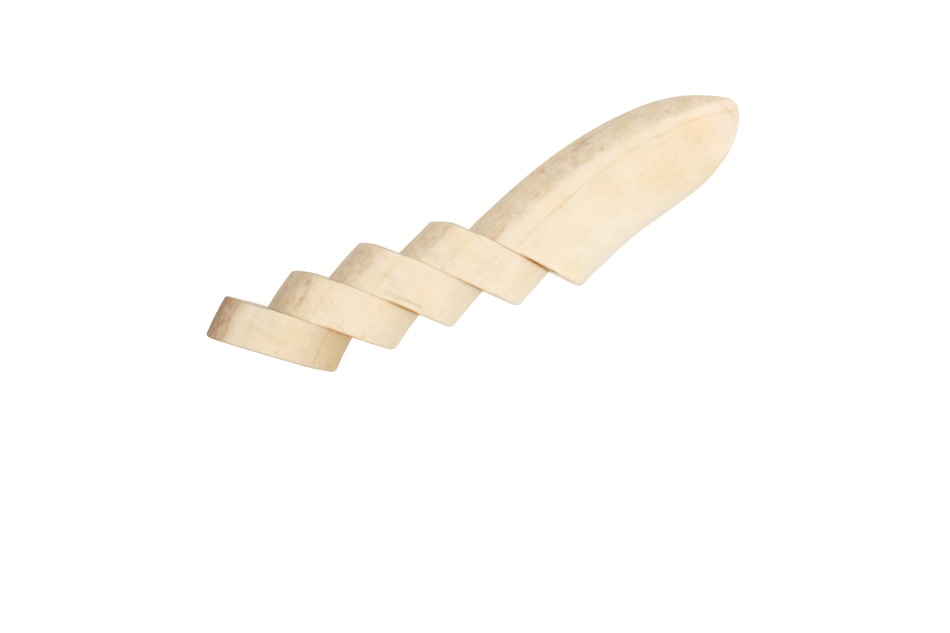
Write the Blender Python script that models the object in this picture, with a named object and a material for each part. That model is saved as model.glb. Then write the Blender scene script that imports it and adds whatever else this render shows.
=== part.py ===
"""A peeled banana cut with a knife: the long piece with the tip, and four slices beside it.

The fruit lies on its side and bends in plan. Every piece is the same fruit between two upright
knife cuts, with the fruit's five flat flanks and the soft ridges between them. Each slice has been
slid along the cut away from the next piece, so the row steps sideways.
"""

from math import atan2, cos, pi, radians, sin, sqrt

import bmesh
import bpy
import numpy as np
from mathutils import Matrix, Vector

MM = 0.001

# Distances along the fruit's middle line are measured from the cut face of the long piece.
TIP = 67.5 * MM
STEM_SIDE = -66 * MM
STEP = 0.5 * MM

# The middle line's heading in plan, in degrees from +X, at distances along it.
BEND = (
    (-66 * MM, 61.5),
    (-50 * MM, 44.8),
    (-34 * MM, 31.8),
    (-17 * MM, 23.7),
    (0 * MM, 21.1),
    (20 * MM, 14.5),
    (40 * MM, 5.4),
    (50 * MM, 5.2),
    (68 * MM, 20.2),
)

# Half the fruit's width in plan, as it would be without the tip's dome.
HALF_WIDTH = (
    (-66 * MM, 17.7 * MM),
    (-25 * MM, 16.5 * MM),
    (0 * MM, 15.5 * MM),
    (34 * MM, 14.35 * MM),
    (68 * MM, 14.7 * MM),
)
DOME_FULLNESS = 5.5
DOME_ROUNDNESS = 0.77
NUB_RADIUS = 3.2 * MM
NUB_BLEND = 4

# The cross-section: the direction that each flank faces, in degrees up from the inner side of the
# bend, and its distance from the middle, with the half width as 1.
FLANKS = (
    (82, 0.975),
    (157, 0.985),
    (223, 0.985),
    (292, 0.97),
    (5, 0.985),
)
RIDGE_SHARPNESS = 5

# How the soft fruit settles on the table.
SAG = 0.7 * MM
TIP_DROOP = 1.2 * MM

# The knife cuts, from the outer face of slice_1 to the face of the long piece. The knife heads
# square to its blade.
CUTS = (-50.1 * MM, -38.4 * MM, -26.2 * MM, -13.0 * MM, 0.0)
LAST_KNIFE_HEADING = 37.6
KNIFE_TURN = 2.8
CUT_GAP = 0.3 * MM
CUT_EDGE_ROUNDING = 0.9 * MM

# For slice_1 to slice_4: how far each has been slid along the cut away from the next piece, and
# how many degrees it has rolled from the way the long piece lies.
SLIDES = (11.0 * MM, 9.0 * MM, 9.9 * MM, 8.7 * MM)
ROLLS = (14, 9, 8, 8)

AROUND = 64
SLICE_RINGS = 5
TIP_PIECE_RINGS = 32
TIP_CROWDING = 1.6
ROUNDING_SEGMENTS = 2

FRESH_FLESH = (0.92, 0.79, 0.58)
BROWNED_FLESH = (0.84, 0.68, 0.47)
FLESH_ROUGHNESS = 0.5
SHARP_EDGE = radians(50)


def smooth_curve(stations, at):
    """A smooth curve through a few (distance, value) stations, read at many distances."""
    where, value = np.array(stations).T
    slope = np.gradient(value, where)
    i = np.clip(np.searchsorted(where, at) - 1, 0, len(where) - 2)
    span = where[i + 1] - where[i]
    t = (at - where[i]) / span
    start = value[i] * (1 + 2 * t) * (1 - t) ** 2 + slope[i] * span * t * (1 - t) ** 2
    end = value[i + 1] * (3 - 2 * t) * t**2 + slope[i + 1] * span * (t - 1) * t**2
    return start + end


class Fruit:
    """The whole peeled fruit as it lies, before it was cut, rolled by some degrees."""

    distances = np.arange(STEM_SIDE, TIP + 2 * STEP, STEP)
    headings = np.radians(smooth_curve(BEND, distances))
    half_widths = smooth_curve(HALF_WIDTH, distances)
    plan_x = np.cumsum(np.cos(headings)) * STEP
    plan_y = np.cumsum(np.sin(headings)) * STEP

    def __init__(self, roll):
        self.roll = roll
        outline = np.array([self.flanks_at(radians(angle)) for angle in range(360)])
        low, high = outline[:, 0].min(), outline[:, 0].max()
        self.middle = (low + high) / 2
        self.scale = 2 / (high - low)
        self.lowest = outline[:, 1].min() * self.scale

    def flanks_at(self, angle):
        """The outline of the flanks in one direction, as (towards the inner side, up)."""
        pull = 0
        for facing, distance in FLANKS:
            pull += max(0, cos(angle - radians(facing + self.roll)) / distance) ** RIDGE_SHARPNESS
        reach = pull ** (-1 / RIDGE_SHARPNESS)
        return reach * cos(angle), reach * sin(angle)

    def section(self, angle):
        """The cross-section in one direction, made 2 wide and set evenly about its middle."""
        across, up = self.flanks_at(angle)
        return (across - self.middle) * self.scale, up * self.scale

    def heading(self, at):
        return np.interp(at, self.distances, self.headings)

    def trunk(self, at):
        """Half the width without the tip's dome."""
        return np.interp(at, self.distances, self.half_widths)

    def half_width(self, at):
        """Half the width, closing in to the tip's dome and the blunt nub at its end."""
        share = min(max(at, 0) / TIP, 1)
        dome = self.trunk(at) * (1 - share**DOME_FULLNESS) ** DOME_ROUNDNESS
        into_nub = min(max(at - TIP + NUB_RADIUS, 0), NUB_RADIUS)
        nub = sqrt(NUB_RADIUS**2 - into_nub**2)
        return (dome**NUB_BLEND + nub**NUB_BLEND) ** (1 / NUB_BLEND)

    def middle_point(self, at):
        """The middle line's point, at the height where the settled fruit meets the table."""
        x = np.interp(at, self.distances, self.plan_x)
        y = np.interp(at, self.distances, self.plan_y)
        droop = TIP_DROOP * (max(at, 0) / TIP) ** 4
        return Vector((x, y, -self.lowest * self.trunk(at) - SAG - droop))

    def side_point(self, at, across, up):
        """A point of the fruit's side, flattened where it lies on the table."""
        turn = self.heading(at)
        wide = self.half_width(at)
        inner_side = Vector((sin(turn), -cos(turn), 0))
        place = self.middle_point(at) + inner_side * across * wide + Vector((0, 0, up * wide))
        place.z = max(place.z, 0)
        return place

    def cut_point(self, at, facing, angle):
        """Where an upright cut through the middle line meets a lengthwise line of the side."""
        across, up = self.section(angle)
        square = Vector((cos(facing), sin(facing), 0))
        through = self.middle_point(at)
        near = at - self.half_width(at)
        far = min(at + self.half_width(at), TIP)
        for _ in range(24):
            halfway = (near + far) / 2
            if (self.side_point(halfway, across, up) - through).dot(square) < 0:
                near = halfway
            else:
                far = halfway
        return self.side_point(near, across, up)


def blank(rings):
    """An upright cylinder, 1 high on the origin, with rings of edges down its side."""
    mesh = bmesh.new()
    bmesh.ops.create_cone(
        mesh,
        cap_ends=True,
        segments=AROUND,
        radius1=1,
        radius2=1,
        depth=1,
        matrix=Matrix.Translation((0, 0, 0.5)),
    )
    upright = [edge for edge in mesh.edges if edge.verts[0].co.z != edge.verts[1].co.z]
    bmesh.ops.subdivide_edges(mesh, edges=upright, cuts=rings - 1)
    return mesh


def shape(mesh, fruit, at_share, facing_share):
    """Moves a blank's rings onto the fruit, each to its own distance and heading."""
    for vertex in mesh.verts:
        share = vertex.co.z
        angle = atan2(vertex.co.x, vertex.co.y)
        vertex.co = fruit.cut_point(at_share(share), facing_share(share), angle)
    mesh.normal_update()


def round_cut_edges(mesh, caps):
    """Softens the edge all round each cut face."""
    rims = {edge for cap in caps for edge in cap.edges}
    bmesh.ops.bevel(
        mesh,
        geom=list(rims),
        offset=CUT_EDGE_ROUNDING,
        segments=ROUNDING_SEGMENTS,
        profile=0.5,
        affect="EDGES",
    )


def end_caps(mesh):
    return [face for face in mesh.faces if len(face.verts) == AROUND]


def knife_heading(cut):
    """The knife's heading at a cut, in radians from +X, turning evenly from cut to cut."""
    return radians(LAST_KNIFE_HEADING + KNIFE_TURN * (len(CUTS) - 1 - cut))


def slice_mesh(number, fruit):
    """The fruit between two neighbouring cuts."""
    near = CUTS[number - 1] + CUT_GAP / 2
    far = CUTS[number] - CUT_GAP / 2
    mesh = blank(SLICE_RINGS)
    shape(
        mesh,
        fruit,
        lambda share: near + (far - near) * share,
        lambda share: knife_heading(number - 1 + share),
    )
    round_cut_edges(mesh, end_caps(mesh))
    return mesh


def tip_piece_mesh(fruit):
    """The fruit from the last cut to its tip. Its rings turn square to the middle line."""
    near = CUTS[-1] + CUT_GAP / 2
    slant = knife_heading(len(CUTS) - 1) - fruit.heading(near)

    def at(share):
        return TIP - (TIP - near) * (1 - share) ** TIP_CROWDING

    def facing(share):
        return fruit.heading(at(share)) + slant * (1 - share) ** 2

    mesh = blank(TIP_PIECE_RINGS)
    tip_ring = [vertex for vertex in mesh.verts if vertex.co.z == 1]
    shape(mesh, fruit, at, facing)
    bmesh.ops.pointmerge(mesh, verts=tip_ring, merge_co=fruit.middle_point(TIP))
    round_cut_edges(mesh, end_caps(mesh))
    return mesh


def slid_by(number):
    """How far a slice has moved in plan: its own slide, and those of the slices after it."""
    moved = Vector((0, 0, 0))
    for cut in range(number, len(CUTS)):
        along_blade = knife_heading(cut) + pi / 2
        moved += Vector((cos(along_blade), sin(along_blade), 0)) * SLIDES[cut - 1]
    return moved


def flesh_material(name, browning):
    """Moist cream flesh, browner where it has stood longest."""
    material = bpy.data.materials.new(name)
    material.use_nodes = True
    shader = material.node_tree.nodes["Principled BSDF"]
    colour = Vector(FRESH_FLESH).lerp(Vector(BROWNED_FLESH), browning)
    shader.inputs["Base Color"].default_value = (*colour, 1)
    shader.inputs["Roughness"].default_value = FLESH_ROUGHNESS
    shader.inputs["Metallic"].default_value = 0
    return material


def add_piece(name, mesh, browning, collection):
    """Makes a shaped mesh into a named object with its own material."""
    data = bpy.data.meshes.new(name)
    mesh.to_mesh(data)
    mesh.free()
    data.shade_smooth()
    data.set_sharp_from_angle(angle=SHARP_EDGE)
    data.materials.append(flesh_material(name + "_flesh", browning))
    piece = bpy.data.objects.new(name, data)
    collection.objects.link(piece)
    return piece


def centre_in_plan(pieces):
    """Moves the row so that the origin lies under the middle of its box."""
    points = np.array([vertex.co + piece.location for piece in pieces for vertex in piece.data.vertices])
    middle = (points.min(axis=0) + points.max(axis=0)) / 2
    for piece in pieces:
        piece.location -= Vector((middle[0], middle[1], 0))


def main():
    for thing in list(bpy.data.objects):
        bpy.data.objects.remove(thing)
    collection = bpy.data.collections.new("sliced_banana")
    bpy.context.scene.collection.children.link(collection)
    pieces = [add_piece("tip_piece", tip_piece_mesh(Fruit(0)), 0, collection)]
    for number, roll in enumerate(ROLLS, 1):
        mesh = slice_mesh(number, Fruit(roll))
        browning = 1 - (number - 1) / len(ROLLS)
        piece = add_piece(f"slice_{number}", mesh, browning, collection)
        piece.location = slid_by(number)
        pieces.append(piece)
    centre_in_plan(pieces)


main()
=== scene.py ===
"""A peeled banana, sliced: its moist flesh, seams, bruises and cut faces, on a pale table."""

from math import radians

import bmesh
import bpy
import numpy as np
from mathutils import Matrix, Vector, noise


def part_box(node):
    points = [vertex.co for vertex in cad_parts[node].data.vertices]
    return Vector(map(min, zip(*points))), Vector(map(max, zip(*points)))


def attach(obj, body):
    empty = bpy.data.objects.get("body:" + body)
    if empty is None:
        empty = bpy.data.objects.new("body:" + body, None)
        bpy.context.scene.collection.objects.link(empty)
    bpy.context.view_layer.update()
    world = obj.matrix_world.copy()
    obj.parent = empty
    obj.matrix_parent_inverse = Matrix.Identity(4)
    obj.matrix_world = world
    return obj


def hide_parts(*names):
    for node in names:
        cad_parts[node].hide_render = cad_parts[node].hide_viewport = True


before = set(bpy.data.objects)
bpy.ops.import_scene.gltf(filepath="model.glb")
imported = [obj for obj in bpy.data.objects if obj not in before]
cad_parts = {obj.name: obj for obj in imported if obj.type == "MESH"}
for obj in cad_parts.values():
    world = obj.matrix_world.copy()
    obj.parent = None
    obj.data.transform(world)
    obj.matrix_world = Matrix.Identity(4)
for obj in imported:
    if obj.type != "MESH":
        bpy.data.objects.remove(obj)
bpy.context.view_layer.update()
bpy.ops.object.select_all(action="DESELECT")

MM = 0.001

# The fruit's form. Distances along its middle line start at the long piece's cut face.
TIP = 67.5 * MM
STEM_SIDE = -66 * MM
STEP = 0.5 * MM

# The middle line's heading in plan, in degrees from +X, at distances along it.
BEND = (
    (-66 * MM, 61.5),
    (-50 * MM, 44.8),
    (-34 * MM, 31.8),
    (-17 * MM, 23.7),
    (0 * MM, 21.1),
    (20 * MM, 14.5),
    (40 * MM, 5.4),
    (50 * MM, 5.2),
    (68 * MM, 20.2),
)

# Half the fruit's width in plan, as it would be without the tip's dome and nub.
HALF_WIDTH = (
    (-66 * MM, 17.7 * MM),
    (-25 * MM, 16.35 * MM),
    (0 * MM, 15.5 * MM),
    (34 * MM, 14.35 * MM),
    (68 * MM, 14.7 * MM),
)
DOME_FULLNESS = 5.5
DOME_ROUNDNESS = 0.77
NUB_RADIUS = 3.2 * MM
NUB_BLEND = 4

# The cross-section: the direction that each flank faces, in degrees up from the inner side of the
# bend, and its distance from the middle, with the half width as 1.
FLANKS = (
    (82, 0.975),
    (157, 0.985),
    (223, 0.985),
    (292, 0.97),
    (5, 0.985),
)
RIDGE_SHARPNESS = 5

# How the soft fruit settles on the table.
SAG = 0.7 * MM
TIP_DROOP = 1.2 * MM
DROOP_BEND = 4

# The knife cuts, from the outer face of slice_1 to the face of the long piece, the knife's heading
# in degrees from +X, and how far each slice was then slid along its cut.
CUTS = (-49.9 * MM, -38.4 * MM, -26.05 * MM, -13.1 * MM, 0.0)
LAST_KNIFE_HEADING = 37.6
KNIFE_TURN = 2.8
CUT_GAP = 0.01 * MM
SLIDES = (11.12 * MM, 8.95 * MM, 9.95 * MM, 8.95 * MM)

# The knife's path curves: how far each cut's outer end and inner end lie back from its middle,
# CUT_REACH away from it, and how soon the curve fades along the long piece.
CUT_CURVES = (
    (0.0, 0.0),
    (0.7 * MM, 0.25 * MM),
    (0.7 * MM, 0.7 * MM),
    (1.1 * MM, 0.2 * MM),
    (1.2 * MM, 0.1 * MM),
)
CUT_REACH = 21.5 * MM
CUT_CURVE_FADE = 8 * MM

# The pieces in their order along the row, and how many degrees each has rolled.
PIECES = ("slice_1", "slice_2", "slice_3", "slice_4", "tip_piece")
ROLLS = {"slice_1": 14, "slice_2": 9, "slice_3": 8, "slice_4": 8, "tip_piece": 0}

# Mesh density. The faces' grids need AROUND to be a multiple of 4. The rings are close at a cut
# edge and grow to RING_GAP apart, in the long piece over its first CLOSE_RINGS.
AROUND = 384
FACE_INSETS = (0.005, 0.009, 0.016)
RING_GAP = 0.5 * MM
RIM_RING_GAP = 0.07 * MM
RING_GROWTH = 1.32
CLOSE_RINGS = 2.5 * MM
TIP_CROWDING = 1.6

# How many halvings find where a cut meets a lengthwise line of the side.
HALVINGS = 24

# On a blank, 1 high and 1 in radius: what counts as the same height, what counts as the same ring,
# and the reach that only the side's points have.
HAIRBREADTH = 0.0001
RING_BREADTH = 0.001
SIDE_REACH = 0.9999

# The least to divide by: the half width at the pointed tip, and the way out from the middle.
THINNEST = 1e-6
SHORTEST_WAY_OUT = 1 * MM

# How far across a cut its neighbour reaches, from -1 at the outer side to 1 at the inner side:
# where the rim is wholly free, and where it touches.
TOUCHING = {"near": (0.49, 0.41), "far": (-0.28, -0.2)}

# The rounding of the cut edges: crisp where they touch, softer where they are free, and softest
# towards the outer and the inner side. RIM_FOCUS says how narrowly.
TOUCHING_RIM = 0.02 * MM
FREE_RIM = 0.14 * MM
RIM_TOWARDS_OUTER_SIDE = {"near": 0.7 * MM, "far": 0.6 * MM}
RIM_TOWARDS_INNER_SIDE = {"near": 1.5 * MM, "far": 0.5 * MM}
RIM_FOCUS = 3

# How soon the mesh is back in its even rings beside a rounded edge.
ROUNDING_FADE = 2 * MM

# The outer end of a slice's far cut bends back: over what length, and how far. WORN_BEND is the
# bend's power from there on, and WORN_DEPTH_BEND the power by which it grows through the slice.
WORN_END = {
    "slice_2": (5.5 * MM, 1.2 * MM),
    "slice_3": (4 * MM, 0.8 * MM),
    "slice_4": (4.8 * MM, 1.5 * MM),
}
WORN_BEND = 1.3
WORN_DEPTH_BEND = 4

# Crevices between neighbours, painted with a glow of light through the flesh round a dark painted
# shadow in the gap, over a little juice browning, by the direction that the rim faces in degrees up
# from the inner
# side as the piece lies: which rim, where it starts, up to where it is darkest, where it has faded
# out, and how strong it is. It comes in over the last CREVICE_END degrees before its start.
CREVICES = {
    "slice_1": (("far", -20, 36, 62, 0.58),),
    "slice_2": (("near", 66, 88, 102, 0.6), ("far", -20, 42, 64, 0.72)),
    "slice_3": (("near", 66, 85, 98, 0.72), ("far", -20, 34, 62, 0.4)),
    "slice_4": (("near", 66, 82, 102, 0.42), ("far", -20, 46, 67, 0.88)),
    "tip_piece": (("near", 62, 86, 100, 0.88),),
}
CREVICE_END = 6
CREVICE_OPENING = 0.12 * MM

# A flap left by the knife on one slice: the ends of its groove, in mm along and in degrees, the
# groove's size, and how strongly it shows as a line and as a stain.
FLAP_SLICE = "slice_3"
FLAP_GROOVE = ((-25.0, 90), (-21.9, 58))
FLAP_HALF_WIDTH = 0.28 * MM
FLAP_RADIUS = 16.3 * MM
FLAP_LINE = 0.6
FLAP_STAIN = 0.45

# The seams where the skin's lobes met: the direction that each faces, in degrees up from the
# inner side of the bend, at distances along the fruit, and how deep it shows.
SEAMS = (
    (
        (
            (-50 * MM, 98.5),
            (-38 * MM, 99.5),
            (-13 * MM, 100),
            (0 * MM, 102.5),
            (15 * MM, 103.5),
            (25 * MM, 104.5),
            (55 * MM, 104.5),
            (60 * MM, 100.5),
            (63 * MM, 91),
            (65.5 * MM, 72),
        ),
        1.0,
    ),
    (((-50 * MM, 36), (-26 * MM, 38), (0 * MM, 40), (30 * MM, 44), (67 * MM, 50)), 0.35),
    (((-50 * MM, 190), (67 * MM, 182)), 0.6),
    (((-50 * MM, 246), (67 * MM, 250)), 0.7),
    (((-50 * MM, 320), (67 * MM, 316)), 0.7),
)
SEAM_HALF_WIDTH = 0.38 * MM
SEAM_DEPTH = 0.11 * MM
SEAM_ON_SLICES = 0.6
LIP_HALF_WIDTH = 3 * SEAM_HALF_WIDTH
LIP_HEIGHT = 0.06 * MM

# How a seam strays to either side, and how its strength varies, with the lengths of both waves.
SEAM_WANDER = 0.22 * MM
SEAM_WANDER_GRAIN = 6 * MM
SEAM_STRENGTH = 0.7
SEAM_UNEVENNESS = 0.5
SEAM_FADING_GRAIN = 4 * MM

# The ridge between the upper side and the outer flank: the direction that it faces, and its size.
OUTER_RIDGE = 119
RIDGE_HEIGHT = 0.12 * MM
RIDGE_HALF_WIDTH = 1.4 * MM

# Layers of low relief on the side and on the cut faces: height, grain size along and across the
# fruit, and where in the noise each starts. The side's fades where the fruit is thinner.
SIDE_RELIEF = (
    (0.16 * MM, (11 * MM, 7 * MM, 7 * MM), 0),
    (0.05 * MM, (6 * MM, 2.2 * MM, 2.2 * MM), 0.05),
    (0.03 * MM, (14 * MM, 0.9 * MM, 0.9 * MM), 0.1),
    (0.025 * MM, (0.9 * MM, 4 * MM, 4 * MM), 0.2),
)
FACE_RELIEF = (
    (0.03 * MM, (1, 9 * MM, 0.8 * MM), 0),
    (0.05 * MM, (1, 2.5 * MM, 2.5 * MM), 0.4),
)
RELIEF_FADES_UNDER = 8 * MM
FACE_SINK = 0.06 * MM
FACE_FLATNESS = 8
CORE_HOLLOW = 0.12 * MM
CORE_REACH = 0.32
CORE_FLATNESS = 4

# Bruises and specks on the peeled side, each as: distance along the fruit in mm, direction in
# degrees, half its length and half its width in mm, turn in degrees, strength, and kind.
TAN, MAUVE, RUST = 0, 1, 2
STAINS = {
    "slice_1": (
        (-42.6, 117.4, 1.9, 0.35, 0, 0.9, MAUVE),
        (-45.4, 118.2, 1.4, 0.3, 8, 0.8, MAUVE),
        (-48.2, 116.4, 1.3, 0.6, 0, 0.6, MAUVE),
        (-45.9, 122, 0.5, 1.2, 10, 0.5, MAUVE),
        (-44.4, 126.5, 0.6, 2.0, -15, 0.5, RUST),
        (-42, 129, 0.7, 2.2, 0, 0.4, RUST),
        (-47.2, 131, 0.9, 1.2, 0, 0.9, TAN),
        (-47.0, 130.5, 0.6, 0.9, 0, 0.5, RUST),
        (-44.6, 135, 0.9, 2.0, 0, 0.6, TAN),
        (-42.2, 138, 0.8, 1.6, 0, 0.5, TAN),
        (-46, 149, 5, 2.4, 0, 0.5, MAUVE),
        (-42.6, 124.3, 0.5, 0.8, 0, 0.6, MAUVE),
        (-44.8, 126.7, 0.5, 0.7, 0, 0.7, MAUVE),
        (-45.3, 118, 0.6, 0.6, 0, 0.9, MAUVE),
        (-46.6, 124.5, 0.9, 0.9, 0, 0.7, RUST),
        (-47.6, 116.6, 1.0, 0.5, 0, 0.7, MAUVE),
        (-46.7, 138, 1.0, 0.9, 0, 0.6, MAUVE),
        (-36.7, 36, 0.7, 0.45, 0, 0.9, RUST),
        (-36.4, 33, 0.5, 0.35, 30, 0.8, MAUVE),
        (-39.5, 36.2, 2.8, 0.3, 0, 0.8, TAN),
        (-45, 35.5, 3.4, 0.35, 0, 0.8, TAN),
        (-43.8, 35, 1.2, 0.4, 0, 0.5, RUST),
        (-47, 8, 0.5, 2.2, 10, 0.5, RUST),
        (-45, 71, 0.35, 0.3, 30, 0.5, TAN),
        (-48.4, 70, 0.2, 0.8, 15, 0.4, MAUVE),
    ),
    "slice_2": (
        (-35, 145, 0.55, 3.2, 0, 0.8, RUST),
        (-35.6, 146, 0.35, 3.4, 0, 0.6, MAUVE),
        (-32.4, 155, 0.8, 2.5, 0, 0.6, TAN),
        (-31.4, 117, 1.0, 0.7, 0, 0.6, MAUVE),
        (-30.4, 119, 0.8, 1.0, -30, 0.5, TAN),
        (-35.8, 114, 2.2, 0.5, 0, 0.6, MAUVE),
        (-33.2, 115, 1.6, 0.45, 0, 0.5, MAUVE),
        (-33.2, 128, 1.2, 1.2, 0, 0.4, TAN),
        (-35.2, 52, 0.9, 0.5, -60, 0.6, TAN),
        (-37.5, 104, 1.2, 0.35, 5, 0.3, TAN),
    ),
    "slice_3": (
        (-24.6, 140, 0.7, 2.6, 0, 0.7, TAN),
        (-20.4, 142, 0.6, 3.4, 8, 0.8, TAN),
        (-19.4, 124, 1.0, 1.2, -40, 0.7, RUST),
        (-20.8, 118, 1.8, 0.5, 0, 0.5, TAN),
        (-24.5, 120, 1.5, 0.4, 8, 0.5, TAN),
        (-18.0, 111, 0.8, 0.6, -40, 0.45, RUST),
        (-21.0, 100, 0.6, 0.5, 20, 0.5, RUST),
        (-19.5, 99, 0.6, 0.5, 0, 0.4, RUST),
        (-24.2, 87.5, 0.25, 1.1, 18, 0.9, RUST),
    ),
    "slice_4": (
        (-9.0, 125, 0.7, 1.0, 20, 0.5, TAN),
        (-5.6, 125, 0.8, 0.9, -30, 0.5, TAN),
        (-7.6, 121, 2.2, 0.4, 0, 0.35, MAUVE),
        (-6.6, 148, 0.7, 3.2, 5, 0.6, TAN),
        (-9.8, 153, 0.7, 3.2, 0, 0.5, TAN),
        (-11.2, 142, 0.5, 2.4, 0, 0.4, MAUVE),
        (-11.6, 120, 0.6, 0.5, 0, 0.6, RUST),
        (-8.3, 73, 0.3, 0.3, 0, 0.4, TAN),
    ),
    "tip_piece": (
        (24.7, 128.2, 1.2, 1.5, 15, 1.0, RUST),
        (24.9, 127.6, 0.6, 0.7, 0, 0.7, RUST),
        (24.3, 124, 0.5, 0.4, 0, 0.4, MAUVE),
        (26.4, 149, 1.0, 0.7, -25, 1.0, MAUVE),
        (29.8, 144, 1.0, 0.6, -50, 1.0, MAUVE),
        (30.4, 141, 0.5, 0.4, -50, 0.8, MAUVE),
        (29.6, 158, 1.0, 0.9, -20, 0.8, MAUVE),
        (28.4, 162, 0.8, 1.6, 20, 0.5, RUST),
        (25.0, 137, 0.5, 1.0, 40, 0.5, MAUVE),
        (24.0, 146, 0.5, 1.8, 10, 0.4, MAUVE),
        (28.4, 155, 3.6, 3.0, 0, 0.42, MAUVE),
        (26.2, 151.5, 1.5, 0.26, 8, 0.9, MAUVE),
        (29.4, 146, 1.6, 0.26, -12, 0.9, MAUVE),
        (31.2, 158, 1.9, 0.26, 5, 0.8, MAUVE),
        (28.2, 161, 1.7, 0.3, 0, 0.7, MAUVE),
        (23.8, 155, 1.5, 0.3, -6, 0.7, MAUVE),
        (20.6, 158.5, 1.3, 0.3, 0, 0.5, MAUVE),
        (22.5, 160, 0.6, 2.2, 0, 0.6, RUST),
        (17.6, 156, 0.7, 2.8, 0, 0.8, TAN),
        (17.3, 160, 1.4, 2.0, 0, 0.4, RUST),
        (17.5, 156.6, 0.9, 0.9, 0, 0.9, RUST),
        (18.0, 143, 0.4, 1.8, 5, 0.5, RUST),
        (21.0, 158, 0.5, 2.0, 0, 0.5, TAN),
        (12.8, 127, 0.8, 0.7, 0, 0.8, MAUVE),
        (11.4, 128, 1.6, 0.4, 0, 0.5, RUST),
        (12.2, 133, 0.8, 1.0, 0, 0.4, RUST),
        (9.0, 138, 0.3, 2.0, 10, 0.7, TAN),
        (10.7, 156, 0.4, 1.2, 0, 0.5, TAN),
        (2.4, 125, 0.8, 0.8, 20, 0.6, TAN),
        (0.6, 123, 0.7, 0.8, 0, 0.7, RUST),
        (31.4, 124, 1.0, 0.7, 30, 0.6, TAN),
        (32.8, 127, 0.9, 0.8, 0, 0.4, RUST),
        (31.5, 156, 0.6, 1.6, 0, 0.5, RUST),
        (35.9, 160, 0.5, 1.5, 0, 0.6, RUST),
        (38.6, 128.5, 0.35, 0.5, 0, 0.6, MAUVE),
        (42.8, 149, 0.8, 0.8, 0, 0.6, TAN),
        (44.5, 145, 0.5, 0.9, -20, 0.6, MAUVE),
        (48.8, 123.5, 0.5, 0.3, 20, 0.7, TAN),
        (47.2, 124.5, 0.5, 0.25, 0, 0.5, MAUVE),
        (52.0, 142, 0.5, 1.6, 0, 0.5, RUST),
        (55.5, 129.5, 0.4, 0.7, 0, 0.7, TAN),
        (40.5, 154, 0.4, 0.6, 0, 0.5, MAUVE),
        (45.0, 133, 0.4, 0.7, 30, 0.4, MAUVE),
        (9.2, 99, 0.8, 0.4, 0, 0.3, RUST),
        (12.5, 103, 1.4, 0.4, 0, 0.4, RUST),
        (14.8, 102.5, 0.5, 0.4, 0, 0.6, TAN),
        (38.0, 106, 0.8, 0.3, 0, 0.3, TAN),
        (36.6, 107.5, 1.2, 0.5, -15, 0.2, RUST),
        (46.0, 105, 1.2, 0.3, 0, 0.3, TAN),
        (54.6, 105, 1.0, 0.3, 0, 0.25, TAN),
        (11.0, 80, 0.2, 0.5, 25, 0.5, TAN),
        (12.9, 80.5, 0.2, 0.6, 15, 0.5, TAN),
        (15.4, 80.5, 0.2, 0.5, 10, 0.5, TAN),
        (36.5, 80.5, 0.25, 0.4, 20, 0.7, TAN),
        (38.5, 80.8, 0.3, 0.4, 30, 0.6, TAN),
        (40.6, 80, 0.25, 0.5, 20, 0.5, TAN),
        (43.2, 88, 0.35, 0.7, 15, 0.6, TAN),
        (46.5, 79, 0.45, 0.5, 0, 0.4, TAN),
        (48.3, 81.5, 0.2, 0.6, 25, 0.4, TAN),
        (54.2, 75.5, 0.3, 0.4, 20, 0.6, RUST),
        (54.3, 75.2, 0.2, 0.3, 20, 0.3, MAUVE),
        (51.2, 93, 0.7, 0.7, 0, 0.4, RUST),
        (58.0, 75, 0.5, 0.8, 0, 0.3, TAN),
        (59.8, 76, 0.3, 0.8, 10, 0.5, TAN),
        (40.3, 67, 0.6, 0.9, -10, 0.3, RUST),
        (64.2, 82, 0.8, 3.6, 8, 0.45, RUST),
        (24.0, 66, 1.6, 2.6, 20, 0.15, RUST),
    ),
}
STAIN_SPREAD = 0.75
STAIN_RAGGEDNESS = 0.35 * MM
STAIN_RAGGED_GRAIN = 0.8 * MM


def smooth_curve(stations, at):
    """A smooth curve through a few (distance, value) stations, read at many distances."""
    where, value = np.array(stations).T
    slope = np.gradient(value, where)
    i = np.clip(np.searchsorted(where, at) - 1, 0, len(where) - 2)
    span = where[i + 1] - where[i]
    t = (at - where[i]) / span
    start = value[i] * (1 + 2 * t) * (1 - t) ** 2 + slope[i] * span * t * (1 - t) ** 2
    end = value[i + 1] * (3 - 2 * t) * t**2 + slope[i + 1] * span * (t - 1) * t**2
    return start + end


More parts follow.
